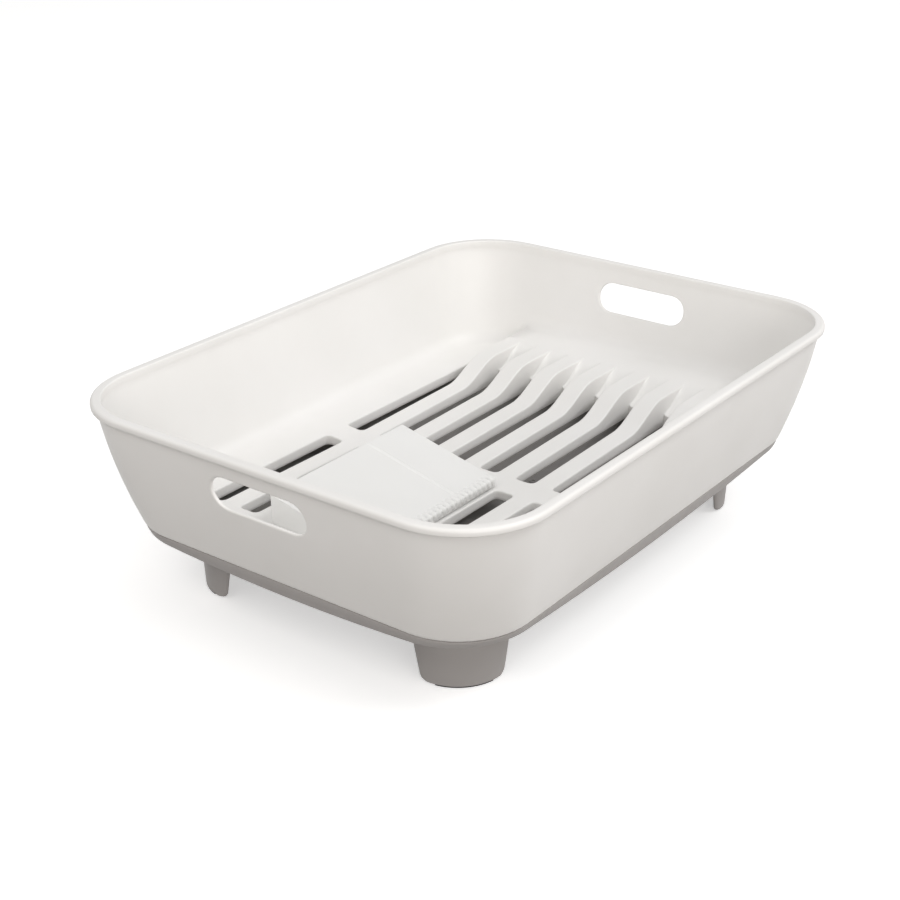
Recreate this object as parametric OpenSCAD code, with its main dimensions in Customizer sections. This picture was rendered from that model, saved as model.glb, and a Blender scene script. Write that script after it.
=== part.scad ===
// Dish drying rack: a white tub with plate ribs in its floor, a grey drip pan with four legs
// clipped under it, and a sloping drainer that lifts out.
// Frame: +X runs from the near handle wall to the far one, +Z is up, and the origin is on the
// surface that the feet stand on, below the middle of the rim.

/* [Rim and wall] */
// Length of the tub over its rim
rim_l = 480; // [440:5:520]
// Width of the tub over its rim
rim_w = 362.5; // [340:2.5:400]
// Height of the rim's top above the surface
rim_z = 150; // [140:1:170]
// Corner radius of the rim's outer edge
rim_r = 59; // [45:1:70]
// Height of the rim's rolled edge
rim_h = 5.4; // [4:0.2:8]
// Width of the rim's top
rim_t = 7.6; // [6:0.2:10]
// How far the rim stands out over the wall
rim_lip = 3.8; // [2:0.2:6]
// Thickness of the tub's wall
wall_t = 3; // [2:0.2:4]
// How far the wall leans in from the rim to the pan
wall_lean = 23; // [18:0.5:28]
// Height at which the tub meets the pan
part_z = 58.5; // [54:0.5:62]
// Corner radius where the tub meets the pan
part_r = 53; // [40:1:60]

/* [Handles] */
// Length of a hand slot
grip_l = 80; // [70:1:100]
// Height of a hand slot
grip_h = 24; // [20:0.5:30]
// Height of a hand slot's middle
grip_z = 120.5; // [115:0.5:124]

/* [Floor and ribs] */
// Height of the floor's top
floor_z = 65.4; // [64:0.2:68]
// Thickness of the floor and of a rib's skin
skin_t = 2.6; // [2:0.2:3]
// Slots across each bank
slots = 8; // [6:1:9]
// Distance from one slot to the next
pitch = 31.87; // [30:0.1:34]
// Width of a slot
slot_w = 16; // [12:0.5:18]
// Near end of the near bank
near_x0 = -162; // [-170:1:-150]
// Near edge of the crossbar
bar_x0 = -32; // [-40:1:-25]
// Far edge of the crossbar
bar_x1 = -9; // [-15:1:0]
// Far end of the far bank
far_x1 = 185; // [175:1:190]
// Height of the plate stop at the ribs' far end
stop_z = 82; // [76:0.5:90]
// Where a rib starts to rise to the plate stop
rise_x0 = 99; // [90:1:110]
// Length of that rise
rise_l = 48; // [40:1:60]
// Length of the scoop that closes a slot's far end
scoop_l = 35; // [20:1:40]
// Height of a scoop's front edge
scoop_z = 66; // [62:0.5:70]

/* [Drip pan] */
// Depth of the pan at its middle
pan_depth = 20.5; // [16:0.5:26]
// How much shallower the pan is at the middle of a side
pan_bow = 8.8; // [6:0.2:10]
// How far the pan's side leans in
pan_in = 3; // [2:0.5:6]
// Thickness of the pan
pan_t = 2.6; // [2:0.2:3]
// Diameter of a drain hole
drain_d = 3; // [2:0.5:6]

/* [Legs] */
// Distance of a leg's centre from the middle, along X
leg_x = 147; // [140:1:155]
// Distance of a leg's centre from the middle, along Y
leg_y = 91.5; // [85:0.5:100]
// Outer radius of a leg at the surface
leg_r = 35.3; // [30:0.1:40]
// Thickness of a leg
leg_t = 3.2; // [2.6:0.2:4]
// How fast a leg's radius grows upward
leg_draft = 0.05; // [0:0.01:0.1]
// Degrees that a leg's arc gains at each end, from the surface to the pan
leg_spread = 17; // [0:1:25]
// Degrees by which a leg reaches past a quarter turn at each end
leg_wrap = 7; // [0:1:15]
// Height of a foot pad
pad_h = 1.2; // [0.8:0.1:2]

/* [Drainer] */
// Near end of the drainer
drainer_x0 = -172; // [-176:1:-165]
// Far end of the drainer
drainer_x1 = -28.5; // [-31:0.5:-20]
// Low edge of the drainer
drainer_y0 = -37.5; // [-39:0.5:-34]
// High edge of the drainer
drainer_y1 = 48; // [40:1:54]
// Height of the low edge
drainer_z0 = 71.5; // [69:0.5:74]
// Height of the high edge
drainer_z1 = 91.5; // [80:0.5:96]
// Thickness of the drainer's skin
drainer_t = 2.2; // [1.8:0.2:3]
// Distance of the drainer's cross bead from its far end
bead_back = 41; // [30:1:60]

/* [Hidden] */
CORNERS = ["near_left", "near_right", "far_left", "far_right"];
RIBS = [for (i = [1:slots - 1]) i];
corner_parts = 2;
END_PARTS = ["upper", "lower", "left", "right"];
$fn = 48;

white = [0.93, 0.93, 0.92];
grey = [0.45, 0.44, 0.44];
dark = [0.2, 0.2, 0.2];
steel = [0.7, 0.7, 0.72];

rib_w = pitch - slot_w;
bank_w = slots * slot_w + (slots - 1) * rib_w;
wall_h = rim_z - rim_h - part_z;
web_z = part_z - 1.4;
foot_in = wall_lean + 16;
fillet_r = 12;
corner_n = 12;
profile_n = 5;
stop_w = (slots - 2) * pitch + rib_w;
rib_fall = 1;
foot_r = 35.5;
boss_x = [-180, 0, 180];
boss_y = 136;
boss_d = 9;
screw_d = 3;
screw_head_d = 6.4;
screw_head_h = 2;
screw_len = 12;
drain_x = [(bar_x0 + bar_x1) / 2 - 54.5, (bar_x0 + bar_x1) / 2 + 54.5];
drain_y = 27;
leg_top = part_z - 9;
leg_round = 4;

// Outer inset of the wall from the rim's edge, and the corner radius, at height z
function fall(z) = (rim_z - rim_h - z) / wall_h;
function wall_in(z) = rim_lip + (wall_lean - rim_lip) * (0.57 * fall(z) + 0.43 * pow(fall(z), 2));
function wall_r(z) = part_r + (rim_r - part_r) * (z - part_z) / (rim_z - part_z);
function wall_at(z) = min(z, rim_z - rim_h);
function radius_at(p) = wall_r(p[1]) - (p[0] - wall_in(wall_at(p[1])));

// The wall's section as [inset, height] points, in two pieces: the wall with its rim, and the
// foot with the fillet that leads to the floor
foot_tangent = wall_in(floor_z + fillet_r) + wall_t + 0.4;
split_z = floor_z + fillet_r;
wall_zs = [for (i = [0:profile_n]) split_z + (rim_z - rim_h - split_z) * i / profile_n];
upper_profile = concat(
    [for (i = [profile_n:-1:0]) [wall_in(wall_zs[i]), wall_zs[i]]],
    [for (i = [0:profile_n - 1]) [wall_in(wall_zs[i]) + wall_t, wall_zs[i]]],
    [[rim_t, rim_z - 5], [rim_t, rim_z - 1.2], [rim_t - 1.2, rim_z], [2.6, rim_z],
        [0.9, rim_z - 0.8], [0, rim_z - 2.4], [0.3, rim_z - 4.2], [1.4, rim_z - rim_h]]);
foot_profile = concat(
    [[wall_in(split_z), split_z], [wall_in((split_z + part_z) / 2), (split_z + part_z) / 2]],
    [[wall_lean, part_z], [wall_lean + wall_t, part_z], [wall_lean + wall_t + 1.4, floor_z - skin_t]],
    [[foot_in, floor_z - skin_t], [foot_in, floor_z]],
    [for (b = [0:18:72]) [foot_tangent + fillet_r * (1 - sin(b)), floor_z + fillet_r * (1 - cos(b))]],
    [[wall_in(split_z) + wall_t, split_z]]);

// Half lengths of the straight walls: the corners take up what the leaning corner radius leaves
straight_x = rim_l / 2 - wall_lean - part_r;
straight_y = rim_w / 2 - wall_lean - part_r;

// A point of the corner sweep: angle a runs from 0 on the end wall to 90 on the side wall
function sweep_r(p) = p[0] >= foot_in ? foot_r : radius_at(p);
function corner_point(p, a) = let (r = sweep_r(p)) [
    rim_l / 2 - p[0] - r + r * cos(a),
    rim_w / 2 - p[0] - r + r * sin(a),
    p[1]];

// One of the angular parts of a corner: the first and last also take up the straight remainder
module wall_corner(c, part, profile) {
    n = len(profile);
    each_n = corner_n / corner_parts;
    k0 = (part - 1) * each_n;
    rings = concat(
        part == 1 ? [for (p = profile) [rim_l / 2 - p[0], straight_y, p[1]]] : [],
        [for (k = [k0:k0 + each_n]) for (p = profile) corner_point(p, 90 * k / corner_n)],
        part == corner_parts ? [for (p = profile) [straight_x, rim_w / 2 - p[0], p[1]]] : []);
    last = len(rings) / n - 1;
    sides = [for (k = [0:last - 1]) for (i = [0:n - 1]) let (j = (i + 1) % n)
        [k * n + i, k * n + j, (k + 1) * n + j, (k + 1) * n + i]];
    caps = [[for (i = [n - 1:-1:0]) i], [for (i = [0:n - 1]) last * n + i]];
    color(white) at_corner(c)
        polyhedron(points = rings, faces = concat(sides, caps), convexity = 6);
}

// Mirrors a part drawn in the +X +Y corner into corner c
function corner_x(c) = c < 2 ? -1 : 1;
function corner_y(c) = c % 2 == 0 ? 1 : -1;
module at_corner(c) {
    mirror([corner_x(c) < 0 ? 1 : 0, 0, 0]) mirror([0, corner_y(c) < 0 ? 1 : 0, 0]) children();
}

// Straight wall run of the given half length, drawn along X with its inside towards -Y
module wall_run(half, profile) {
    rotate([90, 0, 90]) translate([0, 0, -half]) linear_extrude(height = 2 * half)
        polygon([for (p = profile) [-p[0], p[1]]]);
}

module side_wall(side) {
    color(white) mirror([0, side < 0 ? 1 : 0, 0]) translate([0, rim_w / 2, 0]) {
        wall_run(straight_x, upper_profile);
        wall_run(straight_x, foot_profile);
    }
}

// The straight part of an end wall, cut level with the hand slot's top and bottom
grip_flat = (grip_l - grip_h) / 2;
module slab(x0, x1, z0, z1) {
    translate([x0, -100, z0]) cube([x1 - x0, 200, z1 - z0]);
}

module end_wall(side, part) {
    z0 = grip_z - grip_h / 2;
    z1 = grip_z + grip_h / 2;
    color(white) rotate([0, 0, side > 0 ? -90 : 90]) translate([0, rim_l / 2, 0]) {
        if (part == "upper") intersection() {
            wall_run(straight_y, upper_profile);
            slab(-rim_l, rim_l, z1, rim_z + 1);
        }
        if (part == "lower") {
            intersection() {
                wall_run(straight_y, upper_profile);
                slab(-rim_l, rim_l, 0, z0);
            }
            wall_run(straight_y, foot_profile);
        }
        if (part == "left" || part == "right") mirror([(part == "left") == (side > 0) ? 1 : 0, 0, 0])
            intersection() {
                wall_run(straight_y, upper_profile);
                difference() {
                    slab(grip_flat, rim_l, z0, z1);
                    translate([grip_flat, 0, grip_z]) rotate([90, 0, 0])
                        cylinder(h = 60, d = grip_h, center = true);
                }
            }
    }
}

// Height of a rib's top along the rack
function rise(x) = x < rise_x0 ? 0 : x > rise_x0 + rise_l ? 1
    : 0.5 - 0.5 * cos(180 * (x - rise_x0) / rise_l);
function rib_top(x) = x <= bar_x0 ? floor_z - rib_fall * (x - near_x0) / (bar_x0 - near_x0)
    : let (flat = floor_z - rib_fall + 2 * rib_fall * (min(x, rise_x0) - bar_x1) / (rise_x0 - bar_x1))
        flat + (stop_z - floor_z - rib_fall) * rise(x);
far_steps = concat([bar_x1, 20, 60, rise_x0], [for (i = [1:8]) rise_x0 + rise_l * i / 8], [far_x1]);
near_steps = [near_x0, bar_x0];

module rib_web(steps, width, drop, cut) {
    n = len(steps) - 1;
    x0 = steps[0] + cut;
    x1 = steps[n] - cut;
    rotate([90, 0, 0]) translate([0, 0, -width / 2]) linear_extrude(height = width) polygon(concat(
        [[x0, web_z - drop], [x1, web_z - drop]],
        [for (i = [n:-1:0]) let (x = min(max(steps[i], x0), x1)) [x, rib_top(steps[i]) - drop]]));
}

module rib(i, steps) {
    color(white) translate([0, (slots / 2 - i) * pitch, 0]) difference() {
        rib_web(steps, rib_w, 0, 0);
        rib_web(steps, rib_w - 2 * skin_t, skin_t, skin_t);
    }
}

// The floor: a plate with a window for each bank of slots and a web round each window
floor_hx = rim_l / 2 - foot_in;
floor_hy = rim_w / 2 - foot_in;
floor_outline = [for (q = [[1, 1, 0], [-1, 1, 90], [-1, -1, 180], [1, -1, 270]])
    for (k = [0:corner_n]) let (a = q[2] + 90 * k / corner_n)
        [q[0] * (floor_hx - foot_r) + foot_r * cos(a), q[1] * (floor_hy - foot_r) + foot_r * sin(a)]];

module window(x0, x1, w, grow, z0, z1) {
    translate([x0 - grow, -w / 2 - grow, z0]) cube([x1 - x0 + 2 * grow, w + 2 * grow, z1 - z0]);
}

module tub_floor() {
    color(white) difference() {
        union() {
            translate([0, 0, floor_z - skin_t]) linear_extrude(height = skin_t) polygon(floor_outline);
            window(near_x0, bar_x0, bank_w, skin_t, web_z, floor_z - 0.5);
            window(bar_x1, far_x1, bank_w, skin_t, web_z, floor_z - 0.5);
        }
        window(near_x0, far_x1, bank_w, 0, web_z - 5, floor_z + 5);
        window(far_x1 - 5, floor_hx - skin_t, stop_w, 0, web_z - 5, floor_z + 5);
    }
}

module tub_crossbar() {
    color(white) difference() {
        window(bar_x0, bar_x1, bank_w, 0, web_z, floor_z - rib_fall);
        window(bar_x0, bar_x1, bank_w, -skin_t, web_z - 5, floor_z - rib_fall - skin_t);
    }
}

// The raised plate stop between the ribs' far ends and the far wall
module stop_section(t) {
    polygon(concat(
        [[far_x1 + t, web_z - t], [far_x1 + t, stop_z - t]],
        [[rim_l / 2 - wall_in(stop_z) - wall_t - 0.3 - t, stop_z - t]],
        [[rim_l / 2 - wall_in(split_z) - wall_t - 0.3 - t, split_z]],
        [for (b = [72:-18:0]) [rim_l / 2 - foot_tangent - 0.3 - fillet_r * (1 - sin(b)) - t,
            floor_z + fillet_r * (1 - cos(b))]],
        [[floor_hx - skin_t - t, floor_z], [floor_hx - skin_t - t, web_z - t]]));
}

module tub_plate_stop() {
    color(white) difference() {
        rotate([90, 0, 0]) translate([0, 0, -stop_w / 2]) linear_extrude(height = stop_w) stop_section(0);
        rotate([90, 0, 0]) translate([0, 0, -stop_w / 2 + skin_t])
            linear_extrude(height = stop_w - 2 * skin_t) stop_section(skin_t);
    }
}

// The scoops that close the far ends of the slots between the ribs, hollow underneath
module scoop_section() {
    polygon(concat(
        [[far_x1 - scoop_l, web_z], [far_x1, web_z], [far_x1, stop_z]],
        [for (t = [0.9:-0.1:-0.01])
            [far_x1 - scoop_l + scoop_l * t, scoop_z + (stop_z - scoop_z) * (0.5 - 0.5 * cos(180 * t))]]));
}

module tub_slot_scoops() {
    color(white) for (i = [1:slots - 2]) translate([0, (slots / 2 - 0.5 - i) * pitch, 0]) difference() {
        rotate([90, 0, 0]) translate([0, 0, -slot_w / 2]) linear_extrude(height = slot_w) scoop_section();
        rotate([90, 0, 0]) translate([skin_t, -skin_t, -slot_w / 2 + skin_t])
            linear_extrude(height = slot_w - 2 * skin_t) scoop_section();
    }
}

// The pan: outline of a loop at inset d from the parting line, and the fall of its underside
pan_hx = rim_l / 2 - wall_lean;
pan_hy = rim_w / 2 - wall_lean;
function pan_drop(x, y) = pan_depth - pan_bow * (pow(x / pan_hx, 2) + pow(y / pan_hy, 2));
pan_turns = [[1, 1], [-1, 1], [-1, -1], [1, -1]];
function pan_centre(q) = [pan_turns[q % 4][0] * (pan_hx - part_r), pan_turns[q % 4][1] * (pan_hy - part_r)];
function loop(d) = let (r = part_r - d) [for (q = [0:3]) each concat(
    [for (k = [0:6]) pan_centre(q) + r * [cos(90 * q + 15 * k), sin(90 * q + 15 * k)]],
    [for (j = [1:5]) pan_centre(q) * (1 - j / 6) + pan_centre(q + 1) * j / 6
        + r * [cos(90 * q + 90), sin(90 * q + 90)]])];
edge_f = [1, 0.8, 0.6, 0.4, 0.2];

// Rings of one face of the pan, offset inward and upward by t: the side's top, then the underside
function pan_rings(t) = concat(
    [[for (p = loop(t)) [p[0], p[1], part_z]]],
    [for (f = edge_f) [for (p = loop(pan_in + t)) [p[0] * f, p[1] * f,
        part_z + t - pan_drop(p[0] * f, p[1] * f)]]]);

module pan_shell() {
    n = len(loop(0));
    m = len(edge_f) + 1;
    outer = pan_rings(0);
    inner = pan_rings(pan_t);
    pts = concat([for (r = outer) each r], [for (r = inner) each r],
        [[0, 0, part_z - pan_depth], [0, 0, part_z + pan_t - pan_depth]]);
    o = m * n;
    faces = concat(
        [for (k = [0:m - 2]) for (i = [0:n - 1]) let (j = (i + 1) % n, a = k * n, b = (k + 1) * n)
            each [[a + i, b + i, b + j], [a + i, b + j, a + j]]],
        [for (k = [0:m - 2]) for (i = [0:n - 1]) let (j = (i + 1) % n, a = o + k * n, b = o + (k + 1) * n)
            each [[a + i, b + j, b + i], [a + i, a + j, b + j]]],
        [for (i = [0:n - 1]) let (j = (i + 1) % n) each [[i, j, o + j], [i, o + j, o + i]]],
        [for (i = [0:n - 1]) let (j = (i + 1) % n, b = (m - 1) * n) [b + i, 2 * o, b + j]],
        [for (i = [0:n - 1]) let (j = (i + 1) % n, b = o + (m - 1) * n) [b + i, b + j, 2 * o + 1]]);
    polyhedron(points = pts, faces = faces, convexity = 8);
}

module at_screws() {
    for (x = boss_x) for (s = [-1, 1]) translate([x, s * boss_y, 0]) children();
}
function seat_z(x) = part_z - pan_drop(x, boss_y);

module drip_pan() {
    color(grey) difference() {
        pan_shell();
        at_screws() translate([0, 0, 20]) cylinder(h = 60, d = screw_d + 0.4);
        for (x = drain_x) for (s = [-1, 1])
            translate([x, s * drain_y, 20]) cylinder(h = 60, d = drain_d);
    }
}

module tub_screw_bosses() {
    color(white) for (x = boss_x) for (s = [-1, 1]) translate([x, s * boss_y, seat_z(x) + pan_t + 0.6])
        difference() {
            cylinder(h = floor_z - skin_t - seat_z(x) - pan_t - 0.6, d = boss_d);
            translate([0, 0, -1]) cylinder(h = screw_len, d = screw_d + 0.1);
        }
}

module pan_screws() {
    color(steel) for (x = boss_x) for (s = [-1, 1])
        translate([x, s * boss_y, seat_z(x) - screw_head_h - 0.6]) difference() {
            union() {
                cylinder(h = screw_head_h, d = screw_head_d);
                cylinder(h = screw_head_h + screw_len, d = screw_d);
            }
            for (a = [0, 90]) rotate([0, 0, a]) translate([-1.8, -0.4, -1]) cube([3.6, 0.8, 2]);
        }
}

// A leg: a quarter of a widening tube with its lower corners rounded off
leg_levels = [0, 0.5, 1.3, 2.5, leg_round, 18, 34, leg_top];
function leg_trim(z) = z >= leg_round ? 0
    : (leg_round - sqrt(pow(leg_round, 2) - pow(leg_round - z, 2))) / leg_r * 180 / PI;
function leg_cut(z) = leg_trim(z) - leg_wrap - leg_spread * z / leg_top;
function leg_point(z, a, t) = let (r = leg_r - t + leg_draft * z, x = r * cos(a), y = r * sin(a))
    [x, y, z < leg_top ? z + pad_h : part_z - pan_drop(leg_x + x, leg_y + y) - 0.02];

module leg(c) {
    n = 11;
    rings = [for (z = leg_levels) let (d = leg_cut(z)) concat(
        [for (k = [0:n - 1]) leg_point(z, d + (90 - 2 * d) * k / (n - 1), 0)],
        [for (k = [n - 1:-1:0]) leg_point(z, d + (90 - 2 * d) * k / (n - 1), leg_t)])];
    m = 2 * n;
    sides = [for (k = [0:len(leg_levels) - 2]) for (i = [0:m - 1]) let (j = (i + 1) % m, a = k * m)
        each [[a + i, a + m + i, a + m + j], [a + i, a + m + j, a + j]]];
    top = (len(leg_levels) - 1) * m;
    caps = [for (i = [0:n - 2]) let (p = i, q = i + 1, r = m - 2 - i, s = m - 1 - i)
        each [[p, q, r], [p, r, s], [top + p, top + r, top + q], [top + p, top + s, top + r]]];
    color(grey) at_corner(c) translate([leg_x, leg_y, 0])
        polyhedron(points = [for (r = rings) each r], faces = concat(sides, caps), convexity = 4);
}

module foot_pad(c) {
    color(dark) at_corner(c) translate([leg_x, leg_y, 0]) rotate([0, 0, 12])
        rotate_extrude(angle = 66) translate([leg_r - leg_t + 0.4, 0]) square([leg_t - 0.8, pad_h]);
}

// The drainer: a hollow board that slopes down to the right, closed at both ends
module drainer_section(t) {
    polygon([[drainer_y0 + t, floor_z + 0.1 - t], [drainer_y1 - t, floor_z + 0.1 - t],
        [drainer_y1 - t, drainer_z1 - 1.1 * t], [drainer_y0 + t, drainer_z0 - t]]);
}
drainer_l = drainer_x1 - drainer_x0;
slope = atan2(drainer_z1 - drainer_z0, drainer_y1 - drainer_y0);

module drainer() {
    color(white) difference() {
        translate([drainer_x0, 0, 0]) rotate([90, 0, 90]) difference() {
            union() {
                linear_extrude(height = drainer_l) drainer_section(0);
                translate([0, 0, drainer_l - bead_back]) linear_extrude(height = 1.6)
                    polygon([[drainer_y0 + 4, drainer_z0 - 0.3], [drainer_y1 - 1, drainer_z1 - 1],
                        [drainer_y1 - 1, drainer_z1 + 0.5], [drainer_y0 + 4, drainer_z0 + 1.6]]);
            }
            translate([0, 0, drainer_t]) linear_extrude(height = drainer_l - 2 * drainer_t)
                drainer_section(drainer_t);
        }
        for (i = [0:11]) translate([drainer_x1 - 3 - 3.4 * i, drainer_y0 - 1, drainer_z0 - 1.2])
            cube([1.4, 3, 3]);
    }
}

for (p = END_PARTS) end_wall(-1, p);
for (p = END_PARTS) end_wall(1, p);
side_wall(1);  // tub_left_wall
side_wall(-1);  // tub_right_wall
for (c = [0:3]) for (k = [1:corner_parts])
    wall_corner(c, k, upper_profile);
for (c = [0:3]) for (k = [1:corner_parts])
    wall_corner(c, k, foot_profile);
tub_floor();
tub_crossbar();
tub_plate_stop();
tub_slot_scoops();
tub_screw_bosses();
for (i = RIBS) rib(i, near_steps);
for (i = RIBS) rib(i, far_steps);
drip_pan();
for (c = [0:3]) leg(c);
for (c = [0:3]) foot_pad(c);
pan_screws();
drainer();
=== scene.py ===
import math
import bpy
import bmesh
from mathutils import Matrix, Vector


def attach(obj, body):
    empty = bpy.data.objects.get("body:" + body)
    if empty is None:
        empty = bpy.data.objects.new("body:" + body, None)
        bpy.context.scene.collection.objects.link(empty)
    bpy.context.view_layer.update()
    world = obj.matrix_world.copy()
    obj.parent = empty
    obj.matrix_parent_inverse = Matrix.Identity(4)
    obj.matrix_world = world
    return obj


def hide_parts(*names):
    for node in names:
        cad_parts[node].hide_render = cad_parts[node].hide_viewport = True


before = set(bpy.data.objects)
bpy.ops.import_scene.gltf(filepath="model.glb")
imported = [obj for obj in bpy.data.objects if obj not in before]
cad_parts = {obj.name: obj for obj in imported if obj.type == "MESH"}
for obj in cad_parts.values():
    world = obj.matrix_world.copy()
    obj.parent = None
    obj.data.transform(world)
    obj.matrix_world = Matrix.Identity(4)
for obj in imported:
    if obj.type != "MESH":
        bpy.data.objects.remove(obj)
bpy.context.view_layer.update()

# ---------------------------------------------------------------- sizes, in millimetres
RIM_L, RIM_W, RIM_Z, RIM_R = 480.0, 362.5, 150.0, 59.0
RIM_H, RIM_T, RIM_LIP = 5.4, 7.6, 3.8
WALL_T, LEAN, PART_Z, PART_R = 3.0, 23.0, 58.5, 53.0
GRIP_L, GRIP_H, GRIP_Z = 80.0, 24.0, 120.5
FLOOR_Z, WEB_Z, PITCH, SLOT_W, SLOT_R = 65.4, 57.1, 31.87, 16.0, 4.0
NEAR_X0, BAR_X0, BAR_X1, FAR_X1 = -162.0, -32.0, -9.0, 185.0
STOP_Z, RISE_X0, RISE_L = 82.0, 99.0, 48.0
PAN_D, PAN_BOW, PAN_IN, PAN_T = 20.5, 8.8, 3.0, 2.6
LEG_X, LEG_Y, LEG_R, LEG_T, LEG_H, PAD_H = 147.0, 91.5, 35.3, 3.2, 48.3, 1.2
LEG_DRAFT, LEG_SPREAD, LEG_WRAP = 0.05, 17.0, 7.0
SCOOP_L, SCOOP_Z = 35.0, 66.0
DR_X0, DR_X1, DR_Y0, DR_Y1, DR_Z0, DR_Z1, BEAD = -172.0, -28.5, -37.5, 48.0, 71.5, 91.5, 41.0
FILLET = 12.0  # between the walls and the floor
EDGE_R = 1.3  # round of the slots' top edges
STOP_HALF, STOP_BLEND = 103.5, 15.0  # half width of the raised plate stop, and how far its ends fall
PATCH_Z0, PATCH_Z1, PATCH_HALF, PATCH_N = 101.0, 139.5, 58.0, 16  # end-wall panel that holds the hand slot
GRIP_ROUND = 1.45  # round of the hand slot's edges
WALL_H = RIM_Z - RIM_H - PART_Z
ST_X, ST_Y = RIM_L / 2 - LEAN - PART_R, RIM_W / 2 - LEAN - PART_R


def smooth(t):
    t = min(1.0, max(0.0, t))
    return t * t * (3 - 2 * t)


def wall_in(z):
    f = (RIM_Z - RIM_H - min(z, RIM_Z - RIM_H)) / WALL_H
    return RIM_LIP + (LEAN - RIM_LIP) * (0.57 * f + 0.43 * f * f)


def wall_r(z):
    return PART_R + (RIM_R - PART_R) * (z - PART_Z) / (RIM_Z - PART_Z)


# ---------------------------------------------------------------- mesh helper
class Maker:
    """Collects grids of points in millimetres and welds them into one smooth mesh."""

    def __init__(self):
        self.bm = bmesh.new()

    def grid(self, rows, closed=False, skip=None):
        vs = [[self.bm.verts.new((p[0] / 1000, p[1] / 1000, p[2] / 1000)) for p in r] for r in rows]
        n = len(rows[0])
        for i in range(len(vs) - 1):
            for j in range(n if closed else n - 1):
                if skip and skip(i, j):
                    continue
                k = (j + 1) % n
                self.bm.faces.new((vs[i][j], vs[i][k], vs[i + 1][k], vs[i + 1][j]))

    def cap(self, ring):
        self.bm.faces.new([self.bm.verts.new((p[0] / 1000, p[1] / 1000, p[2] / 1000)) for p in ring])

    def done(self, name, mat, body, replaces=(), weld=3e-5):
        bm = self.bm
        bmesh.ops.remove_doubles(bm, verts=bm.verts, dist=weld)
        bmesh.ops.dissolve_degenerate(bm, edges=bm.edges, dist=1e-6)
        bmesh.ops.recalc_face_normals(bm, faces=bm.faces)
        me = bpy.data.meshes.new(name)
        bm.to_mesh(me)
        bm.free()
        for p in me.polygons:
            p.use_smooth = True
        ob = bpy.data.objects.new(name, me)
        bpy.context.scene.collection.objects.link(ob)
        me.materials.append(mat)
        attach(ob, body)
        if replaces:
            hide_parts(*replaces)
        return ob


# ---------------------------------------------------------------- materials
def plastic(name, colour, rough, bump, tint=0.03, grain=2600.0, spec=0.5):
    """Moulded plastic: faint colour clouds, uneven gloss, and a fine grain over slow waves."""
    m = bpy.data.materials.new(name)
    m.use_nodes = True
    nt = m.node_tree
    b = nt.nodes["Principled BSDF"]
    tc = nt.nodes.new("ShaderNodeTexCoord")

    def noise(scale, detail):
        n = nt.nodes.new("ShaderNodeTexNoise")
        n.inputs["Scale"].default_value = scale
        n.inputs["Detail"].default_value = detail
        nt.links.new(tc.outputs["Object"], n.inputs["Vector"])
        return n

    cloud, fine, wave = noise(9.0, 4.0), noise(grain, 3.0), noise(38.0, 2.0)
    ramp = nt.nodes.new("ShaderNodeValToRGB")
    ramp.color_ramp.elements[0].position = 0.3
    ramp.color_ramp.elements[1].position = 0.7
    lo = [c * (1 - tint) for c in colour[:2]] + [colour[2] * (1 - tint * 1.25)]
    ramp.color_ramp.elements[0].color = (*lo, 1)
    ramp.color_ramp.elements[1].color = (*[min(1, c * (1 + tint * 0.5)) for c in colour], 1)
    nt.links.new(cloud.outputs["Fac"], ramp.inputs["Fac"])
    nt.links.new(ramp.outputs["Color"], b.inputs["Base Color"])
    mr = nt.nodes.new("ShaderNodeMapRange")
    mr.inputs["From Min"].default_value = 0.3
    mr.inputs["From Max"].default_value = 0.7
    mr.inputs["To Min"].default_value = rough - 0.05
    mr.inputs["To Max"].default_value = rough + 0.06
    nt.links.new(wave.outputs["Fac"], mr.inputs["Value"])
    nt.links.new(mr.outputs["Result"], b.inputs["Roughness"])
    b1 = nt.nodes.new("ShaderNodeBump")
    b1.inputs["Strength"].default_value = bump
    b1.inputs["Distance"].default_value = 0.00012
    nt.links.new(fine.outputs["Fac"], b1.inputs["Height"])
    b2 = nt.nodes.new("ShaderNodeBump")
    b2.inputs["Strength"].default_value = 0.12
    b2.inputs["Distance"].default_value = 0.0006
    nt.links.new(wave.outputs["Fac"], b2.inputs["Height"])
    nt.links.new(b1.outputs["Normal"], b2.inputs["Normal"])
    nt.links.new(b2.outputs["Normal"], b.inputs["Normal"])
    b.inputs["Specular IOR Level"].default_value = spec
    return m


white = plastic("tub_plastic", (0.89, 0.882, 0.87), 0.42, 0.25)
grey = plastic("pan_plastic", (0.37, 0.352, 0.346), 0.5, 0.35, 0.04)
board = plastic("drainer_plastic", (0.92, 0.92, 0.912), 0.36, 0.18)
rubber = plastic("pad_rubber", (0.03, 0.03, 0.03), 0.75, 0.6, 0.1, 1800.0, 0.3)
steel = plastic("screw_steel", (0.55, 0.55, 0.56), 0.3, 0.1, 0.04)
steel.node_tree.nodes["Principled BSDF"].inputs["Metallic"].default_value = 1.0

# ---------------------------------------------------------------- tub: stations round the loop
# A station gives, for a point of the section at [inset, z], its place round the tub.
CORNER_N = 14
PATCH_YS = [-PATCH_HALF + 2 * PATCH_HALF * i / PATCH_N for i in range(PATCH_N + 1)]
END_Y = [-ST_Y, -88.0, -73.0] + PATCH_YS + [73.0, 88.0, ST_Y]
SIDE_X = [-ST_X + 2 * ST_X * i / 20 for i in range(21)]


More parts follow.
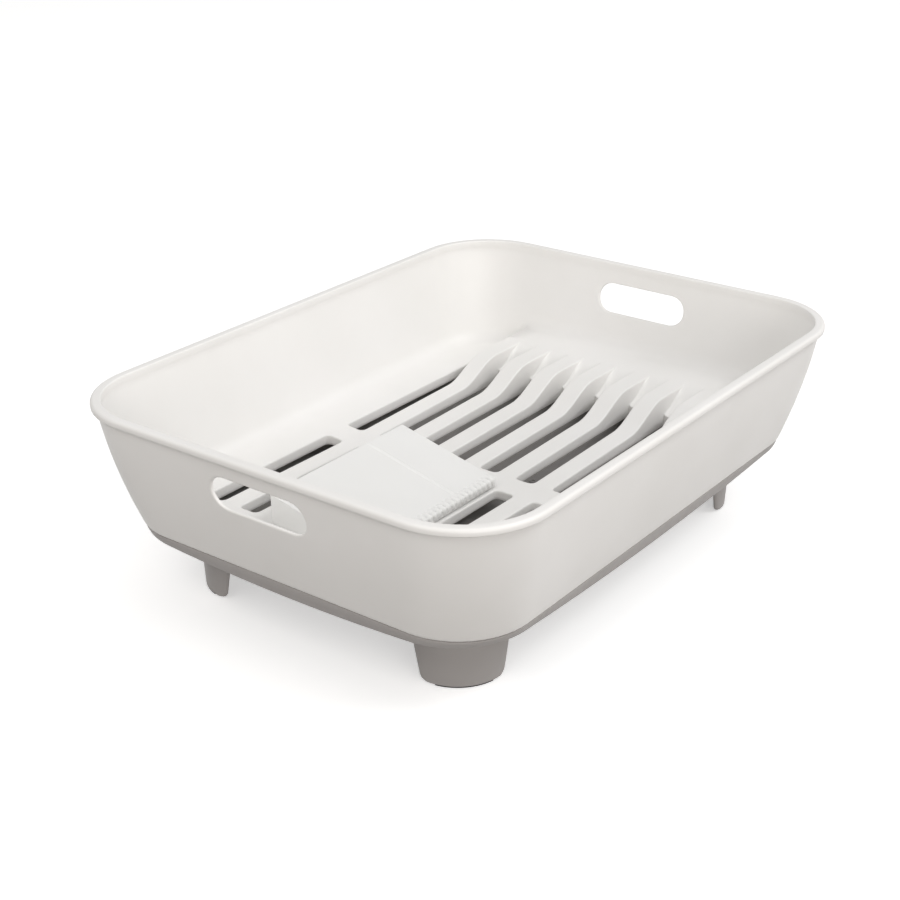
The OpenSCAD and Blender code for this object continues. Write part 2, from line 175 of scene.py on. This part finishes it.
def stations():
    out = []
    for sx, sy in ((1, 1), (-1, 1), (-1, -1), (1, -1)):
        turn = {(1, 1): 0, (-1, 1): 90, (-1, -1): 180, (1, -1): 270}[(sx, sy)]
        for k in range(CORNER_N + 1):
            out.append(("arc", sx, sy, math.radians(turn + 90.0 * k / CORNER_N)))
        if (sx, sy) == (1, 1):
            out += [("side", 1, x) for x in reversed(SIDE_X)]
        elif (sx, sy) == (-1, 1):
            out += [("end", -1, y) for y in reversed(END_Y)]
        elif (sx, sy) == (-1, -1):
            out += [("side", -1, x) for x in SIDE_X]
        else:
            out += [("end", 1, y) for y in END_Y]
    return out


ST = stations()


def place(s, inset, z):
    """The point at that inset from the rim's outline and that height, at station s."""
    if s[0] == "side":
        return (s[2], s[1] * (RIM_W / 2 - inset), z)
    if s[0] == "end":
        return (s[1] * (RIM_L / 2 - inset), s[2], z)
    r = wall_r(z) - (inset - wall_in(z))
    cx = s[1] * (RIM_L / 2 - inset - r)
    cy = s[2] * (RIM_W / 2 - inset - r)
    return (cx + r * math.cos(s[3]), cy + r * math.sin(s[3]), z)


def ledge(y):
    """Height of the floor beyond the slots' far ends."""
    return FLOOR_Z + (STOP_Z - FLOOR_Z) * (1 - smooth((abs(y) - STOP_HALF) / STOP_BLEND))


def foot_height(s):
    if s[0] == "side":
        return FLOOR_Z
    p = place(s, 30.0, 80.0)
    return ledge(p[1]) if p[0] > 150 else FLOOR_Z


def foot_tangent(h):
    return wall_in(h + FILLET) + WALL_T + 0.4


FOOT_ANGLES = (0, 13, 26, 39, 52, 65, 77)
Z_LOW, Z_MID = 5, 10  # rows of the wall below the hand slot's panel, and through it


def inner_profile(h):
    ft = foot_tangent(h)
    out = [(ft + FILLET * (1 - math.sin(math.radians(b))), h + FILLET * (1 - math.cos(math.radians(b))))
           for b in FOOT_ANGLES]
    z0 = h + FILLET * (1 - math.cos(math.radians(86)))
    out += [(wall_in(z) + WALL_T, z) for z in [z0 + (PATCH_Z0 - z0) * i / Z_LOW for i in range(Z_LOW + 1)]]
    out += [(wall_in(z) + WALL_T, z) for z in
            [PATCH_Z0 + (PATCH_Z1 - PATCH_Z0) * i / Z_MID for i in range(1, Z_MID + 1)]]
    zt = RIM_Z - RIM_H - 1.6
    out += [(wall_in(zt) + WALL_T, zt), (RIM_T - 0.35, zt + 1.2), (RIM_T - 0.05, zt + 2.4)]
    return out


def arc(ci, cz, ri, rz, a0, a1, n):
    return [(ci + ri * math.cos(math.radians(a0 + (a1 - a0) * k / n)),
             cz + rz * math.sin(math.radians(a0 + (a1 - a0) * k / n))) for k in range(n + 1)]


RIM = (arc(RIM_T - 1.0, RIM_Z - 1.0, 1.0, 1.0, 0, 90, 4) + [(4.6, RIM_Z)]
       + arc(2.5, RIM_Z - 2.5, 2.5, 2.5, 90, 180, 7) + [(0.05, RIM_Z - 3.6)]
       + arc(1.5, RIM_Z - RIM_H + 1.2, 1.4, 1.2, 180, 270, 4)
       + [(RIM_LIP - 0.6, RIM_Z - RIM_H - 0.05), (RIM_LIP - 0.05, RIM_Z - RIM_H - 0.5)])


def outer_profile():
    top = RIM_Z - RIM_H - 1.2
    out = [(wall_in(top), top), (wall_in(PATCH_Z1 + 2), PATCH_Z1 + 2), (wall_in(PATCH_Z1), PATCH_Z1)]
    out += [(wall_in(z), z) for z in
            [PATCH_Z1 - (PATCH_Z1 - PATCH_Z0) * i / Z_MID for i in range(1, Z_MID + 1)]]
    low = PART_Z + 2.4
    out += [(wall_in(z), z) for z in [PATCH_Z0 - (PATCH_Z0 - low) * i / 12 for i in range(1, 13)]]
    i0 = wall_in(low)
    out += [(i0 + 1.5 * (1 - math.cos(math.radians(b))) + 0.18 * b / 22.5,
             low - 2.3 * math.sin(math.radians(b)))
            for b in (22.5, 45, 67.5, 90)]
    out += [(LEAN + WALL_T, PART_Z + 0.1), (LEAN + WALL_T + 0.4, PART_Z + 3.0)]
    return out


def is_patch(n_in, n_rim):
    """Cells of the wall's grid that the hand slots take."""
    low_in = len(FOOT_ANGLES) + Z_LOW
    rows_in = range(low_in, low_in + Z_MID)
    first = n_in + n_rim + 2
    rows_out = range(first, first + Z_MID)
    cols = set()
    for j, s in enumerate(ST):
        t = ST[(j + 1) % len(ST)]
        if s[0] == "end" and t[0] == "end" and max(abs(s[2]), abs(t[2])) <= PATCH_HALF + 0.01:
            cols.add(j)
    return lambda i, j: j in cols and (i in rows_in or i in rows_out)


tub = Maker()
profiles = []
for s in ST:
    profiles.append(inner_profile(foot_height(s)) + RIM + outer_profile())
n_in, n_rim = len(inner_profile(FLOOR_Z)), len(RIM)
rows = [[place(s, *profiles[j][i]) for j, s in enumerate(ST)] for i in range(len(profiles[0]))]
tub.grid(rows, closed=True, skip=is_patch(n_in, n_rim))


# hand slots
def stadium(y, z, grow):
    """The point of the hand slot's outline, grown by that much, that faces (y, z)."""
    half, r = (GRIP_L - GRIP_H) / 2, GRIP_H / 2 + grow
    if abs(y) <= half:
        return (y, GRIP_Z + (r if z > GRIP_Z else -r))
    cy = half if y > 0 else -half
    a = math.atan2(z - GRIP_Z, y - cy)
    return (cy + r * math.cos(a), GRIP_Z + r * math.sin(a))


ys = PATCH_YS
zs = [PATCH_Z0 + (PATCH_Z1 - PATCH_Z0) * i / Z_MID for i in range(Z_MID + 1)]
edge = ([(y, zs[0]) for y in ys] + [(ys[-1], z) for z in zs[1:]]
        + [(y, zs[-1]) for y in reversed(ys[:-1])] + [(ys[0], z) for z in reversed(zs[1:-1])])


def skin(side, y, z, depth):
    """A point of the end wall, that deep from its outer face."""
    return (side * (RIM_L / 2 - wall_in(z) - depth), y, z)


def between(side, t, depth):
    """Ring between the panel's edge (t = 0) and the hand slot's rounded edge (t = 1)."""
    return [skin(side, *[e + (q - e) * t for e, q in zip(p, stadium(*p, GRIP_ROUND))], depth) for p in edge]


for side in (-1, 1):
    rings = []
    for t in (0, 0.25, 0.5, 0.75, 0.92):
        rings.append(between(side, t, 0.0))
    for b in range(0, 91, 15):
        o, d = (GRIP_ROUND * (1 - f(math.radians(b))) for f in (math.sin, math.cos))
        rings.append([skin(side, *stadium(*p, o), d) for p in edge])
    for b in range(90, -1, -15):
        o, d = (GRIP_ROUND * (1 - f(math.radians(b))) for f in (math.sin, math.cos))
        rings.append([skin(side, *stadium(*p, o), WALL_T - d) for p in edge])
    for t in (0.92, 0.75, 0.5, 0.25, 0):
        rings.append(between(side, t, WALL_T))
    tub.grid(rings, closed=True)


# floor and ribs
def rib_top(x):
    if x <= BAR_X0:
        return FLOOR_Z - smooth((x - NEAR_X0) / (BAR_X0 - NEAR_X0))
    if x <= BAR_X1:
        return FLOOR_Z - 1.0
    flat = FLOOR_Z - 1.0 + 2.0 * (min(x, RISE_X0) - BAR_X1) / (RISE_X0 - BAR_X1)
    t = min(1.0, max(0.0, (x - RISE_X0) / RISE_L))
    return flat + (STOP_Z - FLOOR_Z - 1.0) * (0.5 - 0.5 * math.cos(math.pi * t))


def top(x, y):
    k = smooth((abs(y) - STOP_HALF) / STOP_BLEND)
    return rib_top(x) * (1 - k) + FLOOR_Z * k


def bank(x0, x1, e0, e1, xs):
    """Eight slot cells; x0..x1 is the slot, e0..e1 the cells' ends, xs the stations between."""
    hw, hp, r = SLOT_W / 2, PITCH / 2, SLOT_R
    for k in range(8):
        yc = (3.5 - k) * PITCH
        pts = []  # centre of the outline's corner, direction, cell edge point

        def corner(sx, sy, order):
            cx, cy = (x1 - r if sx > 0 else x0 + r), sy * (hw - r)
            ex = e1 if sx > 0 else e0
            xa = cx
            steps = [(xa, sy * hp), ((xa + ex) / 2, sy * hp), (ex, sy * hp), (ex, sy * hp * 0.6), (ex, cy)]
            angs = [90, 67.5, 45, 22.5, 0]
            seq = list(zip(angs, steps))
            if order < 0:
                seq.reverse()
            for a, q in seq:
                a = math.radians(a)
                pts.append(((cx, cy), (sx * math.cos(a), sy * math.sin(a)), q))

        for x in reversed(xs):
            pts.append(((x, hw - r), (0, 1), (x, hp)))
        corner(-1, 1, 1)
        pts.append(((x0 + r, 0), (-1, 0), (e0, 0)))
        corner(-1, -1, -1)
        for x in xs:
            pts.append(((x, -(hw - r)), (0, -1), (x, -hp)))
        corner(1, -1, 1)
        pts.append(((x1 - r, 0), (1, 0), (e1, 0)))
        corner(1, 1, -1)

        def at(p, grow):
            (cx, cy), (dx, dy) = p[:2]
            return cx + dx * (r + grow), cy + dy * (r + grow)

        rings = []
        for t in (0, 0.3, 0.6, 0.85):
            ring = []
            for p in pts:
                ax, ay = at(p, EDGE_R)
                x, y = p[2][0] + (ax - p[2][0]) * t, p[2][1] + (ay - p[2][1]) * t
                ring.append((x, yc + y, top(x, yc + y)))
            rings.append(ring)
        for b in (0, 18, 36, 54, 72, 90):
            b = math.radians(b)
            ring = []
            for p in pts:
                x, y = at(p, EDGE_R * (1 - math.sin(b)))
                ring.append((x, yc + y, top(x, yc + y) - EDGE_R * (1 - math.cos(b))))
            rings.append(ring)
        for f in (0.35, 0.7, 1.0):
            ring = []
            for p in pts:
                x, y = at(p, 0.0)
                z0 = top(x, yc + y) - EDGE_R
                ring.append((x, yc + y, z0 + (WEB_Z + 0.6 - z0) * f))
            rings.append(ring)
        for grow in (0.5, 2.2):
            rings.append([(x, yc + y, WEB_Z) for x, y in (at(p, grow) for p in pts)])
        tub.grid(rings, closed=True)


def scoop(yc):
    """The curved surface that closes a slot's far end and dies away into the ledge."""
    rows = []
    for i in range(25):
        t = i / 24
        z = min(STOP_Z - 0.04, SCOOP_Z + (STOP_Z - SCOOP_Z) * (0.5 - 0.5 * math.cos(math.pi * t)))
        slope = (STOP_Z - SCOOP_Z) * math.pi / 2 * math.sin(math.pi * t) / SCOOP_L
        deep = STOP_Z - z
        wide = EDGE_R * (1 - math.sqrt(max(0.0, 1 - (1 - min(1.0, deep / EDGE_R)) ** 2))) + 0.02
        x = FAR_X1 - SCOOP_L + SCOOP_L * t + (wide if i == 24 else 0)
        row = []
        for u in (-1, -0.94, -0.85, -0.7, -0.4, 0, 0.4, 0.7, 0.85, 0.94, 1):
            lift = 1.6 * min(1.0, deep / 5) * max(0.0, (abs(u) - 0.7) / 0.3) ** 2
            row.append((x - lift * slope * 0.7, yc + (SLOT_W / 2 + wide) * u, z + lift))
        rows.append(row)
    low = WEB_Z + 0.6
    front = [[(x + 0.02, y, low + (z - low) * f) for x, y, z in rows[0]] for f in (0, 0.5, 0.9)]
    tub.grid(front + rows)


for k in range(1, 7):
    scoop((3.5 - k) * PITCH)

E0, E1, MIDX = NEAR_X0 - 5, FAR_X1 + 4, (BAR_X0 + BAR_X1) / 2
bank(NEAR_X0, BAR_X0, E0, MIDX, [-150 + 9.5 * i for i in range(12)])
bank(BAR_X1, FAR_X1, MIDX, E1,
     [4, 18, 32, 46, 60, 74, 84] + [91 + 4.0 * i for i in range(17)] + [162, 169, 176])
YB = 4 * PITCH
rings = []
for t in (0, 0.2, 0.4, 0.6, 0.8, 1.0):
    ring = []
    for j, s in enumerate(ST):
        p = place(s, *profiles[j][0])
        q = (min(E1, max(E0, p[0])), min(YB, max(-YB, p[1])))
        x, y = q[0] + (p[0] - q[0]) * t, q[1] + (p[1] - q[1]) * t
        h = ledge(y) if x > 170 else top(x, y)
        ring.append((x, y, profiles[j][0][1] * t + h * (1 - t)))
    rings.append(ring)
tub.grid(rings, closed=True)
TUB_NODES = [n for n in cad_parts
             if n.startswith(("tub_", "near_rib", "far_rib")) and n != "tub_screw_bosses"]
tub.done("tub", white, "rack", TUB_NODES)

# ---------------------------------------------------------------- pan
PX, PY = RIM_L / 2 - LEAN, RIM_W / 2 - LEAN


def drop(x, y):
    """How far the pan's bowed underside lies below the parting line."""
    return PAN_D - PAN_BOW * ((x / PX) ** 2 + (y / PY) ** 2)


def loop(d, n=16, side=10):
    """The pan's outline, that far inside the parting line."""
    r, out = PART_R - d, []
    for sx, sy, turn in ((1, 1, 0), (-1, 1, 90), (-1, -1, 180), (1, -1, 270)):
        cx, cy = sx * (PX - PART_R), sy * (PY - PART_R)
        for k in range(n + 1):
            a = math.radians(turn + 90 * k / n)
            out.append((cx + r * math.cos(a), cy + r * math.sin(a)))
        ex, ey = (-cx, cy) if sx == sy else (cx, -cy)
        a = math.radians(turn + 90)
        x0, y0 = cx + r * math.cos(a), cy + r * math.sin(a)
        dx, dy = ex - cx, ey - cy
        out += [(x0 + dx * i / side, y0 + dy * i / side) for i in range(1, side)]
    return out


pan = Maker()
rings = []


def side_ring(inset, frac):
    """Ring on the pan's side: frac 0 is the parting line and 1 the bottom edge."""
    return [(x, y, PART_Z - frac * drop(x, y)) for x, y in loop(inset)]


EDGE_IN = 0.6  # step in from the tub's edge
SIDE_LEAN, SIDE_FOOT, TURN_IN, BASE_IN = 2.7, 1.56, 4.2, 6.4
rings.append([(x, y, PART_Z - 0.9) for x, y in loop(PAN_T)])
rings.append([(x, y, PART_Z - 0.05) for x, y in loop(PAN_T - 0.3)])
rings.append([(x, y, PART_Z - 0.05) for x, y in loop(EDGE_IN + 0.5)])
rings.append([(x, y, PART_Z - 0.4) for x, y in loop(EDGE_IN + 0.1)])
for f in (0.08, 0.2, 0.35, 0.5, 0.64, 0.76):
    rings.append(side_ring(EDGE_IN + SIDE_LEAN * f ** 2.0, f))
for a in (15, 30, 45, 60, 75):
    a = math.radians(a)
    d = EDGE_IN + SIDE_FOOT + TURN_IN * (1 - math.cos(a))
    rings.append([(x, y, PART_Z - drop(x, y) * (0.76 + 0.24 * math.sin(a))) for x, y in loop(d)])
base = loop(EDGE_IN + BASE_IN)
for f in (1, 0.97, 0.92, 0.85, 0.75, 0.62, 0.48, 0.34, 0.2, 0.08):
    rings.append([(x * f, y * f, PART_Z - drop(x * f, y * f)) for x, y in base])
pan.grid(rings, closed=True)
pan.cap([(x * 0.08, y * 0.08, PART_Z - drop(x * 0.08, y * 0.08)) for x, y in base])
inner = [[(x, y, PART_Z - 0.9) for x, y in loop(PAN_T)]]
inner += [[(x, y, PART_Z + PAN_T - f * drop(x, y) - PAN_T * (1 - f)) for x, y in loop(PAN_T + PAN_IN * f)]
          for f in (0.3, 0.6, 0.85)]
base = loop(PAN_T + PAN_IN + 2.5)
for f in (1, 0.9, 0.75, 0.6, 0.45, 0.3, 0.15, 0.05):
    inner.append([(x * f, y * f, PART_Z + PAN_T - drop(x * f, y * f)) for x, y in base])
pan.grid(inner, closed=True)
pan.cap([(x * 0.05, y * 0.05, PART_Z + PAN_T - drop(x * 0.05, y * 0.05)) for x, y in base])
pan.done("pan", grey, "rack", ["drip_pan"])


# drain collars standing on the pan, seen through the slots
collars = Maker()
COLLARS = [(MIDX - 54.5, -27.0, 0.9), (MIDX - 54.5, 27.0, 0.9), (MIDX + 54.5, -27.0, 0.9),
           (MIDX + 54.5, 27.0, 0.9), (7.0, -45.5, 9.5)]
for cx, cy, tall in COLLARS:
    z = PART_Z + PAN_T - drop(cx, cy)
    up = z + tall
    prof = [(3.4, z - 0.2), (2.9, z + 0.3), (2.7, up - 0.3), (2.4, up), (1.9, up), (1.6, up - 0.3),
            (1.5, z - 1.2)]
    collars.grid([[(cx + r * math.cos(a * math.pi / 16), cy + r * math.sin(a * math.pi / 16), h)
                   for a in range(32)] for r, h in prof], closed=True)
collars.done("pan_drain_collars", grey, "rack")


# ---------------------------------------------------------------- legs and pads
LEG_ROUND, LEG_FREE, LEG_ROOT, LEG_FLARE = 4.0, 30.0, 14.2, 2.6
LEG_STEPS = (0, 0.35, 0.9, 1.7, 2.8, 3.9, 5.0, 9, 14, 19, 24, 29, 33, 36, 38.5, 40.5, 42, 43.2, 44.2)


def leg(corner, sx, sy):
    """A curved leg that widens upward and flares into the pan's underside, and its pad."""
    mk = Maker()
    n = 28
    zs = [PAD_H + z for z in LEG_STEPS]

    def point(z, a, t):
        r = LEG_R - t + LEG_DRAFT * (z - PAD_H)
        return (r * math.cos(a), r * math.sin(a))

    rows = []
    for z in zs:
        h = z - PAD_H
        cut = 0.0 if h >= LEG_ROUND else LEG_ROUND - math.sqrt(LEG_ROUND ** 2 - (LEG_ROUND - h) ** 2)
        d = cut / LEG_R - math.radians(LEG_WRAP + LEG_SPREAD * h / LEG_H)
        flare = LEG_FLARE * smooth((h - 36.5) / 9.5) ** 2
        edge = 0.7
        ring = []
        outer, inner_ = -flare, LEG_T + flare
        for k in range(n + 1):
            a = d + (math.pi / 2 - 2 * d) * k / n
            ring.append(point(z, a, outer if 0 < k < n else outer + edge))
        ring.append(point(z, math.pi / 2 - d + 0.012, LEG_T / 2))
        for k in range(n, -1, -1):
            a = d + (math.pi / 2 - 2 * d) * k / n
            ring.append(point(z, a, inner_ if 0 < k < n else inner_ - edge))
        ring.append(point(z, d - 0.012, LEG_T / 2))
        out = []
        for x, y in ring:
            lift = z
            if h > LEG_FREE:
                roof = PART_Z - drop(LEG_X + x, LEG_Y + y) + 0.6
                lift = PAD_H + LEG_FREE + (z - PAD_H - LEG_FREE) * (roof - PAD_H - LEG_FREE) / LEG_ROOT
            out.append((sx * (LEG_X + x), sy * (LEG_Y + y), lift))
        rows.append(out)
    mk.grid(rows, closed=True)
    bottom = rows[0]
    m = len(bottom)
    for k in range(n):
        mk.cap([bottom[k], bottom[k + 1], bottom[m - 3 - k], bottom[m - 2 - k]])
    mk.done("leg_shell_" + corner, grey, "rack", ["leg_" + corner])
    pd = Maker()
    pad_t = LEG_T - 0.8
    prof = [(0.25, 0.0), (pad_t - 0.25, 0.0), (pad_t, 0.25), (pad_t, PAD_H), (0.0, PAD_H), (0.0, 0.25)]
    rows = []
    for k in range(21):
        a = math.radians(12 + 66 * k / 20)
        rows.append([(sx * (LEG_X + (LEG_R - LEG_T + 0.4 + u) * math.cos(a)),
                      sy * (LEG_Y + (LEG_R - LEG_T + 0.4 + u) * math.sin(a)), v) for u, v in prof])
    pd.grid(rows, closed=True)
    pd.cap(rows[0])
    pd.cap(rows[-1])
    pd.done("pad_" + corner, rubber, "rack", ["foot_pad_" + corner])


LEGS = (("near_left", -1, 1), ("near_right", -1, -1), ("far_left", 1, 1), ("far_right", 1, -1))
for corner, sx, sy in LEGS:
    leg(corner, sx, sy)

# ---------------------------------------------------------------- drainer
SLOPE = (DR_Z1 - DR_Z0) / (DR_Y1 - DR_Y0)
DZB = FLOOR_Z + 0.1
SKIN_T, TOP_ROUND = 2.2, 0.9
TEETH, TOOTH_PITCH, TOOTH_HALF, TOOTH_RISE = 21, 5.2, 2.05, 1.1


def drainer():
    """The tilted board, its underside, its cross bead and its toothed low edge."""
    mk = Maker()
    # outline in plan with rounded corners, walked once round
    rc, out = 1.6, []
    for cx, cy, turn in ((DR_X1 - rc, DR_Y1 - rc, 0), (DR_X0 + rc, DR_Y1 - rc, 90),
                         (DR_X0 + rc, DR_Y0 + rc, 180), (DR_X1 - rc, DR_Y0 + rc, 270)):
        for k in range(6):
            a = math.radians(turn + 18 * k)
            out.append((cx + math.cos(a) * rc, cy + math.sin(a) * rc, math.cos(a), math.sin(a)))

    def roof(y):
        return DR_Z0 + SLOPE * (y - DR_Y0)

    rows = [[(x - 1.9 * dx, y - 1.9 * dy, DZB) for x, y, dx, dy in out],
            [(x - 0.4 * dx, y - 0.4 * dy, DZB) for x, y, dx, dy in out],
            [(x, y, DZB + 0.4) for x, y, dx, dy in out]]
    for f in (0.3, 0.6):
        rows.append([(x, y, DZB + (roof(y) - DZB) * f) for x, y, dx, dy in out])
    e = TOP_ROUND
    for b in (0, 22, 45, 67, 90):
        b = math.radians(b)
        o = e * (1 - math.cos(b))
        rows.append([(x - o * dx, y - o * dy, roof(y - o * dy) - e * (1 - math.sin(b)))
                     for x, y, dx, dy in out])
    mk.grid(rows, closed=True)
    mk.cap([(x - e * dx, y - e * dy, roof(y - e * dy)) for x, y, dx, dy in out])
    # inside skin, seen when the drainer is lifted out
    t = SKIN_T
    rows = [[(x - 1.9 * dx, y - 1.9 * dy, DZB) for x, y, dx, dy in out],
            [(x - t * dx, y - t * dy, DZB + 0.4) for x, y, dx, dy in out],
            [(x - t * dx, y - t * dy, roof(y - t * dy) - t) for x, y, dx, dy in out]]
    mk.grid(rows, closed=True)
    mk.cap(rows[-1])
    # cross bead
    xb = DR_X1 - BEAD
    y0, y1 = DR_Y0 + 2.0, DR_Y1 - 1.2
    prof = [(-2.4, -0.1), (-1.6, 0.14), (-1.0, 0.5), (-0.5, 0.82), (0, 0.92),
            (0.5, 0.82), (1.0, 0.5), (1.6, 0.14), (2.4, -0.1)]
    steps = [(y0 + (y1 - y0) * i / 16, min(1, i * 2, (16 - i) * 2)) for i in range(17)]
    mk.grid([[(xb + u, y, roof(y) + v * full) for y, full in steps] for u, v in prof])
    # rounded teeth that fold over the low edge: each step is [dy, dz, normal y, normal z]
    path = [(6.5, -0.02, 0.0, 1.0), (5.2, 0.12, 0.0, 1.0), (3.6, 0.26, 0.0, 1.0), (1.6, 0.3, 0.0, 1.0),
            (0.4, 0.1, -0.4, 0.92), (-0.1, -0.5, -0.8, 0.6), (-0.2, -1.4, -1.0, 0.2),
            (-0.15, -3.0, -1.0, 0.0), (0.0, -4.4, -1.0, 0.0), (0.3, -5.2, -1.0, 0.0)]
    for i in range(TEETH):
        x = DR_X1 - 4.0 - TOOTH_PITCH * i
        rows = []
        for j, (dy, dz, ny, nz) in enumerate(path):
            base_z = roof(DR_Y0 + max(0.0, dy)) + dz
            thick = TOOTH_RISE if 0 < j < len(path) - 1 else 0.15
            row = []
            for u in (-1, -0.85, -0.6, -0.3, 0, 0.3, 0.6, 0.85, 1):
                o = thick * (math.cos(math.pi / 2 * u) - 0.12)
                row.append((x + TOOTH_HALF * u, DR_Y0 + dy + ny * o, base_z + nz * o))
            rows.append(row)
        mk.grid(rows)
    mk.done("drainer_board", board, "drainer", ["drainer"])


drainer()

# screws and bosses keep their CAD shape
for name, mat, sl in (("pan_screws", steel, "screw_steel"), ("tub_screw_bosses", white, "tub_white")):
    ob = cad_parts[name]
    ob.data.materials.clear()
    ob.data.materials.append(mat)

# ---------------------------------------------------------------- floor, light and camera
scene = bpy.context.scene
# strengths of the sky and of the area lights
SKY, KEY, TOP, FILL, LOW = 0.80, 31.0, 6.0, 14.0, 15.0
# the sky's light as (height, level, blue over red): height 0 is straight down, 0.5 the horizon, 1 straight up
SKY_STEPS = [(0.0, 0.03, 0.88), (0.25, 0.10, 0.88), (0.42, 0.50, 0.87), (0.5, 1.0, 0.89),
             (0.62, 0.88, 0.96), (0.8, 0.52, 1.0)]
ground = bpy.data.meshes.new("ground")
g = 30.0  # half size, in metres
ground.from_pydata([(-g, -g, 0), (g, -g, 0), (g, g, 0), (-g, g, 0)], [], [(0, 1, 2, 3)])
ground_ob = bpy.data.objects.new("ground", ground)
scene.collection.objects.link(ground_ob)
gm = bpy.data.materials.new("ground")
gm.use_nodes = True
gb = gm.node_tree.nodes["Principled BSDF"]
gb.inputs["Base Color"].default_value = (0.93, 0.93, 0.93, 1)
gb.inputs["Roughness"].default_value = 0.9
gb.inputs["Specular IOR Level"].default_value = 0.1
gb.inputs["Emission Color"].default_value = (1, 1, 1, 1)
gb.inputs["Emission Strength"].default_value = 0.45
ground.materials.append(gm)
ground_ob.visible_diffuse = False

world = bpy.data.worlds.new("studio")
scene.world = world
world.use_nodes = True
wt = world.node_tree
sky_at = wt.nodes.new("ShaderNodeTexCoord")
sky_z = wt.nodes.new("ShaderNodeSeparateXYZ")
sky_map = wt.nodes.new("ShaderNodeMapRange")
sky_map.inputs["From Min"].default_value = -1.0
sky_ramp = wt.nodes.new("ShaderNodeValToRGB")
while len(sky_ramp.color_ramp.elements) < len(SKY_STEPS):
    sky_ramp.color_ramp.elements.new(1.0)
for el, (at, v, blue) in zip(sky_ramp.color_ramp.elements, SKY_STEPS):
    el.position = at
    el.color = (v, v * (1 + blue) / 2, v * blue, 1)
wt.links.new(sky_at.outputs["Generated"], sky_z.inputs["Vector"])
wt.links.new(sky_z.outputs["Z"], sky_map.inputs["Value"])
wt.links.new(sky_map.outputs["Result"], sky_ramp.inputs["Fac"])
wt.links.new(sky_ramp.outputs["Color"], wt.nodes["Background"].inputs["Color"])
wt.nodes["Background"].inputs["Strength"].default_value = SKY


def area(name, loc, target, size, power, colour=(1, 1, 1)):
    li = bpy.data.lights.new(name, "AREA")
    li.shape = "RECTANGLE"
    li.size, li.size_y = size
    li.energy = power
    li.color = colour
    ob = bpy.data.objects.new(name, li)
    scene.collection.objects.link(ob)
    ob.location = loc
    ob.rotation_mode = "QUATERNION"
    ob.rotation_quaternion = (Vector(target) - Vector(loc)).to_track_quat("-Z", "Y")


area("key", (0.9, -1.9, 2.5), (0, 0, 0.08), (1.8, 1.2), KEY)
area("top", (0.2, 0.1, 2.6), (0, 0, 0.05), (2.0, 2.0), TOP)
area("fill", (-1.9, -0.1, 2.3), (0, 0, 0.08), (1.4, 1.2), FILL, (1.0, 0.96, 0.92))
area("low", (-1.3, -1.9, 0.7), (0, 0, 0.1), (1.6, 0.9), LOW, (1.0, 0.965, 0.93))

cam = bpy.data.cameras.new("camera")
cam.lens, cam.sensor_width = 63.84, 36.0
cam.shift_x = -0.0023
cam.clip_start, cam.clip_end = 0.05, 100.0
cam_ob = bpy.data.objects.new("camera", cam)
scene.collection.objects.link(cam_ob)
right, up, ahead = (0.60179, -0.79863, -0.00621), (0.33781, 0.24748, 0.90810), (0.72369, 0.54859, -0.41872)
cam_ob.matrix_world = Matrix(((right[0], up[0], -ahead[0], -0.8667),
                              (right[1], up[1], -ahead[1], -0.6334),
                              (right[2], up[2], -ahead[2], 0.56765), (0, 0, 0, 1)))
scene.camera = cam_ob
scene.view_settings.view_transform = "Standard"
